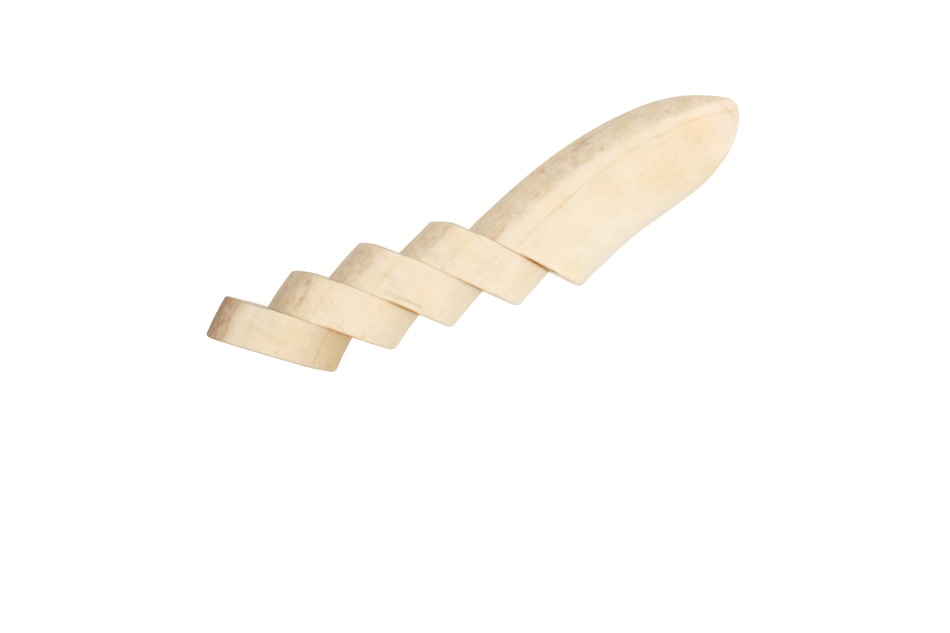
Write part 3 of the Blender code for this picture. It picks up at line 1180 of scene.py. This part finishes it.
def grain_group():
    """Fine fibres along the fruit, finer wrinkles across it in patches, and pores."""
    nodes, entry = new_group("flesh_grain", "Straight")
    straight = entry["Straight"]
    fibres = nodes.noise(straight, detail=3, roughness=0.6, stretch=(0.1, 1.3, 1.3))
    bent = nodes.noise(straight, detail=1, stretch=(0.2, 0.2, 0.2), offset=(7, 3, 1))
    along, towards, up = nodes.split(nodes.stretch(straight, (1.5, 0.28, 0.28)))
    across_fruit = nodes.join(nodes.math("ADD", along, nodes.times(bent, 1.5)), towards, up)
    wrinkles = nodes.noise(across_fruit, detail=3, roughness=0.65)
    patches = nodes.ramp(nodes.noise(straight, scale=0.16, detail=1), none=0.5, full=0.68)
    patches = nodes.scaled(patches, by=0.6, plus=0.4)
    strokes = nodes.times(nodes.ramp(wrinkles, none=0.56, full=0.4), patches)
    pores = nodes.noise(straight, scale=2.4, roughness=0.6)
    height = nodes.scaled(strokes, by=-0.8, plus=nodes.times(fibres, 0.8))
    height = nodes.scaled(pores, by=0.4, plus=height)
    fibres = nodes.ramp(fibres, none=0.42, full=0.66)
    return nodes.finish_group(Height=height, Wrinkles=strokes, Fibres=fibres)


def flank_group():
    """The bruises of the outer flank: soft patches across it, streaks along it, and hairs."""
    nodes, entry = new_group("outer_flank", "Straight", "Degrees")
    straight = entry["Straight"]
    upper_edge = nodes.ramp(entry["Degrees"], none=114.0, full=124.0)
    lower_edge = nodes.ramp(entry["Degrees"], none=-150.0, full=-176.0)
    flank = nodes.math("MAXIMUM", upper_edge, lower_edge)
    across = nodes.noise(straight, stretch=(0.3, 0.16, 0.16), offset=(5, 0, 0))
    along = nodes.noise(straight, detail=4, roughness=0.65, stretch=(0.5, 0.8, 0.8), offset=(2, 8, 0))
    net = nodes.add(
        "ShaderNodeTexVoronoi",
        settings={"feature": "DISTANCE_TO_EDGE"},
        Vector=nodes.stretch(nodes.warp(straight, scale=0.5, amount=3.0), (0.2, 0.42, 0.42)),
        Scale=1.0,
    )
    where = nodes.ramp(nodes.noise(straight, scale=0.3, detail=3, roughness=0.6), none=0.46, full=0.6)
    return nodes.finish_group(
        Patches=nodes.times(flank, nodes.ramp(across, none=0.38, full=0.66)),
        Streaks=nodes.times(flank, nodes.ramp(along, none=0.42, full=0.66)),
        Hairs=nodes.times(flank, nodes.ramp(net, none=0.05, full=0.01), where),
    )


def seed_group():
    """The seeds on a cut face, each a small oval that points outwards, and the halo round each."""
    nodes, entry = new_group("seeds", "Straight")
    warped = nodes.warp(entry["Straight"], scale=1.5, amount=0.5)
    nearest = NO_SEED
    for out, direction in SEEDS:
        facing = radians(direction)
        from_seed = nodes.add(
            "ShaderNodeMapping",
            settings={"vector_type": "TEXTURE"},
            Vector=warped,
            Location=(0, out * np.cos(facing), out * np.sin(facing)),
            Rotation=(facing, 0, 0),
            Scale=(ANY_DEPTH, *SEED_SIZE),
        )
        length = {"operation": "LENGTH"}
        away = nodes.add("ShaderNodeVectorMath", output="Value", settings=length, Vector=from_seed)
        nearest = nodes.math("MINIMUM", away, nearest)
    return nodes.finish_group(
        Seeds=nodes.ramp(nearest, none=1.0, full=0.75),
        Halo=nodes.ramp(nearest, none=2.2, full=0.9),
    )


def crevice_group():
    """Painted light and shade in a crevice between neighbours: an orange glow of light through the
    flesh, over a little juice browning, all round a thin dark painted shadow.
    """
    nodes, entry = new_group(
        "crevice_glow_and_shade", "Color", "Straight", "Crevice", "Edge", "Glow Width", "Core Width"
    )
    near_glow = nodes.ramp(entry["Edge"], none=entry["Glow Width"], full=CREVICE_FULL)
    near_core = nodes.ramp(entry["Edge"], none=entry["Core Width"], full=CREVICE_FULL)
    glow = nodes.times(entry["Crevice"], near_glow)
    core = nodes.times(nodes.math("POWER", entry["Crevice"], 1.5), near_core)
    uneven = nodes.ramp(nodes.noise(entry["Straight"], scale=0.6), none=0.3, full=0.6)
    core = nodes.times(core, nodes.scaled(uneven, by=0.35, plus=0.65))
    # The painted glow, then the painted shadow in the gap.
    colour = nodes.tint(entry["Color"], glow, 0.9, CREVICE_GLOW_TINT)
    return nodes.finish_group(Color=nodes.tint(colour, core, 1.0, CREVICE_CORE_TINT))


def free_rim_group():
    """Painted shade: the greyish line on a cut edge where it is free and turns from the light."""
    nodes, entry = new_group(
        "free_rim_shade", "Color", "Edge", "Free", "Width", "Full Width", "Strength"
    )
    near_edge = nodes.ramp(entry["Edge"], none=entry["Width"], full=entry["Full Width"])
    line = nodes.times(near_edge, entry["Free"])
    colour = nodes.tint(entry["Color"], line, entry["Strength"], FREE_RIM_SHADE_TINT)
    return nodes.finish_group(Color=colour)


def principled(material):
    material.use_nodes = True
    return material.node_tree.nodes["Principled BSDF"]


def moist_flesh(name):
    """A new material with what all the flesh shares: a soft wet shine over light that sinks in."""
    material = bpy.data.materials.new(name)
    shader = principled(material)
    nodes = Nodes(material.node_tree)
    nodes.wire(
        shader,
        Roughness=0.5,
        Specular_IOR_Level=0.3,
        Subsurface_Weight=0.45,
        Subsurface_Radius=(1.0, 0.85, 0.7),
        Subsurface_Scale=0.5 * MM,
    )
    return material, shader, nodes


def paint_edge_light_and_shade(nodes, groups, colour, straight, edge, crevice_widths, rim_widths):
    """Lays painted light and shade over a colour at the cut edges: a grey painted shade on free rims,
    and a painted glow round a painted shadow in crevices.
    """
    free = nodes.attribute("free_rim")
    rims = nodes.group(groups["free_rim"], Color=colour, Edge=edge, Free=free, **rim_widths)
    crevice = nodes.attribute("crevice")
    stained = nodes.group(
        groups["crevice"],
        Color=rims["Color"],
        Straight=straight,
        Crevice=crevice,
        Edge=edge,
        **crevice_widths,
    )
    return stained["Color"]


def side_material(name, groups, node):
    """The peeled side of a piece."""
    age = AGES[node]
    material, shader, nodes = moist_flesh(name)
    straight = nodes.attribute("straight", "Vector")
    edge = nodes.attribute("edge_mm")
    along = nodes.split(straight)[0]
    degrees = nodes.group(groups["side_angle"], Straight=straight)["Degrees"]

    ragged = nodes.noise(straight, detail=3, roughness=0.6, stretch=(0.6, 1.1, 1.1))
    even_shift = FLANK_SHIFT[node] - FLANK_RAGGEDNESS / 2
    shift = nodes.scaled(ragged, by=FLANK_RAGGEDNESS, plus=even_shift)
    ragged_degrees = nodes.math("ADD", degrees, shift)
    colour = nodes.group(groups["flesh_tone"], Degrees=ragged_degrees, Age=age)["Color"]
    grain = nodes.group(groups["grain"], Straight=straight)
    flank = nodes.group(groups["flank"], Straight=straight, Degrees=ragged_degrees)

    peach = nodes.ramp(nodes.noise(straight, scale=0.12), none=0.45, full=0.65)
    cool = nodes.ramp(nodes.noise(straight, scale=0.2, offset=(40, 0, 0)), none=0.45, full=0.65)
    riper = nodes.times(
        nodes.ramp(along, none=30.0, full=48.0),
        nodes.ramp(along, none=62.0, full=52.0),
        nodes.ramp(degrees, none=118.0, full=96.0),
    )
    # Painted light: the tip's rounded end is made paler against the shade that its dome gets.
    painted_light_end = nodes.ramp(along, none=48.0, full=60.0)
    stains = nodes.split(nodes.attribute("stains", "Vector"))
    threads = nodes.noise(straight, detail=3, roughness=0.65, stretch=(0.6, 2.4, 2.4))
    threads = nodes.scaled(threads, by=1.5, plus=0.1)
    # Painted shade along the edges where neighbouring pieces touch, stronger with age for the
    # browning of older cut edges.
    held = nodes.math("SUBTRACT", 1.0, nodes.attribute("free_rim"))
    touching_shade = nodes.times(nodes.ramp(edge, none=0.36, full=0.03), held)

    for mask, strength, tone in (
        (peach, 1.0, PEACH_TINT),
        (cool, 1.0, COOL_TINT),
        (riper, 1.0, RIPER_TINT),
        (painted_light_end, 1.0, PAINTED_LIGHT_END_TINT),
        (grain["Wrinkles"], WRINKLING[node], STROKE_TINT),
        (grain["Fibres"], 0.3, STROKE_TINT),
        (flank["Patches"], 0.45, PATCH_TINT),
        (flank["Streaks"], 0.2 + 0.7 * age, STREAK_TINT),
        (flank["Hairs"], 0.32, HAIR_TINT),
        (nodes.attribute("seam"), 1.0, SEAM_TINT),
        (nodes.times(stains[TAN], threads), 1.0, TAN_TINT),
        (nodes.times(stains[MAUVE], threads), 1.0, MAUVE_TINT),
        (nodes.times(stains[RUST], threads), 1.0, RUST_TINT),
        (touching_shade, 0.25 + 0.6 * age, TOUCHING_RIM_SHADE_TINT),
    ):
        colour = nodes.tint(colour, mask, strength, tone)
    colour = paint_edge_light_and_shade(nodes, groups, colour, straight, edge, SIDE_CREVICE, SIDE_FREE_RIM)
    bump = nodes.add("ShaderNodeBump", Strength=0.3, Distance=0.1 * MM, Height=grain["Height"])
    nodes.wire(shader, Base_Color=colour, Normal=bump)
    return material


def face_material(name, groups, node):
    """A cut face: a pale ring of flesh with faint rays round a three-part core with seeds."""
    age = AGES[node]
    material, shader, nodes = moist_flesh(name)
    straight = nodes.attribute("straight", "Vector")
    reach = nodes.attribute("reach")
    edge = nodes.attribute("edge_mm")
    degrees = nodes.group(groups["side_angle"], Straight=straight)["Degrees"]
    angle = nodes.math("RADIANS", degrees)
    seeds = nodes.group(groups["seeds"], Straight=straight)

    round_it = (nodes.times(nodes.math(turn, angle), RAYS_AROUND) for turn in ("COSINE", "SINE"))
    spokes = nodes.join(*round_it, nodes.times(reach, RAYS_OUTWARDS))
    rays = nodes.noise(spokes, detail=4, roughness=0.65)
    grain = nodes.noise(straight, scale=0.9, detail=4, roughness=0.6)
    texture = nodes.scaled(grain, by=0.5, plus=nodes.times(rays, 0.5))
    colour = nodes.mix(nodes.ramp(texture, none=0.38, full=0.62), FACE_DEEP, FACE_PALE)

    uneven = nodes.noise(straight, scale=0.28, detail=3, roughness=0.6)
    wobble = nodes.scaled(uneven, by=0.16, plus=-0.08)
    lobe_angle = nodes.times(angle, CORE_LOBES)
    lobes = nodes.times(nodes.math("COSINE", lobe_angle), 0.035)
    core_reach = nodes.math("ADD", nodes.math("ADD", reach, wobble), lobes)
    from_ring = nodes.math("ABSOLUTE", nodes.math("SUBTRACT", core_reach, 0.46))
    ring = nodes.times(
        nodes.ramp(from_ring, none=0.05, full=0.0),
        nodes.ramp(grain, none=0.35, full=0.6),
    )
    on_wall = nodes.math("COSINE", nodes.math("ADD", lobe_angle, nodes.times(wobble, 5.0)))
    width = nodes.scaled(reach, by=0.12, plus=0.9)
    walls = nodes.times(
        nodes.ramp(nodes.math("SUBTRACT", on_wall, width), none=0.0, full=0.07),
        nodes.ramp(reach, none=0.4, full=0.28),
    )
    for mask, strength, tone in (
        (nodes.ramp(core_reach, none=0.5, full=0.36), 0.7, CORE_FLESH),
        (ring, 0.45, CORE_LINE),
        (walls, 0.25, CORE_LINE),
        (nodes.ramp(core_reach, none=0.1, full=0.02), 0.4, CORE_LINE),
        (seeds["Halo"], 0.4, CORE_LINE),
        (seeds["Seeds"], 0.9, SEED_BROWN),
    ):
        colour = nodes.mix(nodes.times(mask, strength), colour, tone)

    colour = nodes.mix(FACE_STALENESS * age, colour, FACE_STALE_TINT, "MULTIPLY")
    side = nodes.group(groups["flesh_tone"], Degrees=degrees, Age=age)["Color"]
    colour = nodes.mix(nodes.ramp(edge, none=1.4, full=0.1), colour, side)
    colour = paint_edge_light_and_shade(nodes, groups, colour, straight, edge, FACE_CREVICE, FACE_FREE_RIM)

    pores = nodes.noise(straight, scale=2.2, detail=3)
    height = nodes.scaled(pores, by=0.6, plus=nodes.times(rays, 0.8))
    height = nodes.scaled(seeds["Seeds"], by=0.5, plus=height)
    bump = nodes.add("ShaderNodeBump", Strength=0.25, Distance=0.15 * MM, Height=height)
    wet = nodes.scaled(nodes.ramp(pores, none=0.4, full=0.6), by=0.12, plus=0.36)
    rim = nodes.ramp(edge, none=2.4, full=0.6)
    roughness = nodes.scaled(rim, by=0.5, plus=wet)
    nodes.wire(shader, Base_Color=colour, Normal=bump, Roughness=roughness)
    return material


def dress(piece, side, face):
    """Gives a piece its side and cut-face materials, told apart by where its faces lie."""
    piece.data.materials.append(side)
    piece.data.materials.append(face)
    reach = np.empty(len(piece.data.vertices))
    piece.data.attributes["reach"].data.foreach_get("value", reach)
    for polygon in piece.data.polygons:
        on_face = min(reach[i] for i in polygon.vertices) < SIDE_REACH
        polygon.material_index = 1 if on_face else 0


# ---- Stage ----

FLOOR_SIZE = 12
FLOOR_HEIGHT = -0.05 * MM
PALE = (0.76, 0.76, 0.755, 1)
FLOOR_ROUGHNESS = 0.8
FLOOR_SHINE = 0.2

# The camera sees the floor dimmer, with a glow, so that it looks white with a faint shadow.
PALE_AS_SEEN = (0.3, 0.3, 0.298, 1)
GLOW_AS_SEEN = 0.82
WHITE = (1, 1, 1, 1)

STUDIO_LIGHT = 0.825
KEY_TOWARDS = (0.45, -0.54, 1.19)
KEY_DISTANCE = 1.1
KEY_SIZE = 0.8
KEY_POWER = 3.9

# The camera looks straight down. PICTURE_SCALE is in pixels for each metre at MID_HEIGHT.
CAMERA_AT = (-9.46 * MM, -13.72 * MM)
CAMERA_HEIGHT = 916 * MM
CAMERA_TURN = -24.9
PICTURE_SCALE = 3.911 / MM
MID_HEIGHT = 16 * MM
PICTURE_WIDTH = 950
SENSOR = 36


def lay_floor():
    bpy.ops.mesh.primitive_plane_add(size=FLOOR_SIZE, location=(0, 0, FLOOR_HEIGHT))
    floor = bpy.context.object
    floor.name = "table"
    material = bpy.data.materials.new("pale_table")
    shader = principled(material)
    nodes = Nodes(material.node_tree)
    seen = nodes.add("ShaderNodeBsdfPrincipled")
    for surface, pale in ((shader, PALE), (seen.node, PALE_AS_SEEN)):
        nodes.wire(
            surface, Base_Color=pale, Roughness=FLOOR_ROUGHNESS, Specular_IOR_Level=FLOOR_SHINE
        )
    nodes.wire(seen.node, Emission_Color=WHITE, Emission_Strength=GLOW_AS_SEEN)
    by_camera = nodes.tree.nodes.new("ShaderNodeLightPath").outputs["Is Camera Ray"]
    both = nodes.fill(
        nodes.tree.nodes.new("ShaderNodeMixShader"), (by_camera, shader.outputs[0], seen)
    )
    nodes.plug(nodes.tree.nodes["Material Output"].inputs["Surface"], both)
    floor.data.materials.append(material)
    floor.select_set(False)


def add_softbox(name, towards, distance, size, power):
    """A square area light that shines on the row from a direction in plan and height."""
    light = bpy.data.lights.new(name, "AREA")
    light.size = size
    light.energy = power
    lamp = bpy.data.objects.new(name, light)
    lamp.location = Vector(towards).normalized() * distance
    lamp.rotation_euler = Vector(towards).to_track_quat("Z", "Y").to_euler()
    bpy.context.scene.collection.objects.link(lamp)


def light_scene():
    world = bpy.data.worlds.new("studio")
    world.use_nodes = True
    background = world.node_tree.nodes["Background"]
    Nodes(world.node_tree).wire(background, Color=WHITE, Strength=STUDIO_LIGHT)
    bpy.context.scene.world = world
    add_softbox("key", KEY_TOWARDS, KEY_DISTANCE, KEY_SIZE, KEY_POWER)
    bpy.context.scene.view_settings.view_transform = "Standard"


def place_camera():
    camera = bpy.data.objects.new("camera", bpy.data.cameras.new("camera"))
    camera.data.sensor_width = SENSOR
    camera.data.lens = PICTURE_SCALE * (CAMERA_HEIGHT - MID_HEIGHT) / PICTURE_WIDTH * SENSOR
    camera.location = (*CAMERA_AT, CAMERA_HEIGHT)
    camera.rotation_euler = (0, 0, radians(CAMERA_TURN))
    bpy.context.scene.collection.objects.link(camera)
    bpy.context.scene.camera = camera


def main():
    groups = {
        "side_angle": side_angle_group(),
        "flesh_tone": flesh_tone_group(),
        "grain": grain_group(),
        "flank": flank_group(),
        "seeds": seed_group(),
        "crevice": crevice_group(),
        "free_rim": free_rim_group(),
    }
    shares = slice_ring_shares()
    pieces = [model_slice(number, shares) for number in range(1, len(CUTS))] + [model_tip_piece()]
    centre_row(pieces)
    for node, piece in zip(PIECES, pieces):
        finish_mesh(piece)
        side = side_material(node + "_side", groups, node)
        dress(piece, side, face_material(node + "_cut_face", groups, node))
        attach(piece, "root")
        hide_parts(node)
    lay_floor()
    light_scene()
    place_camera()


main()
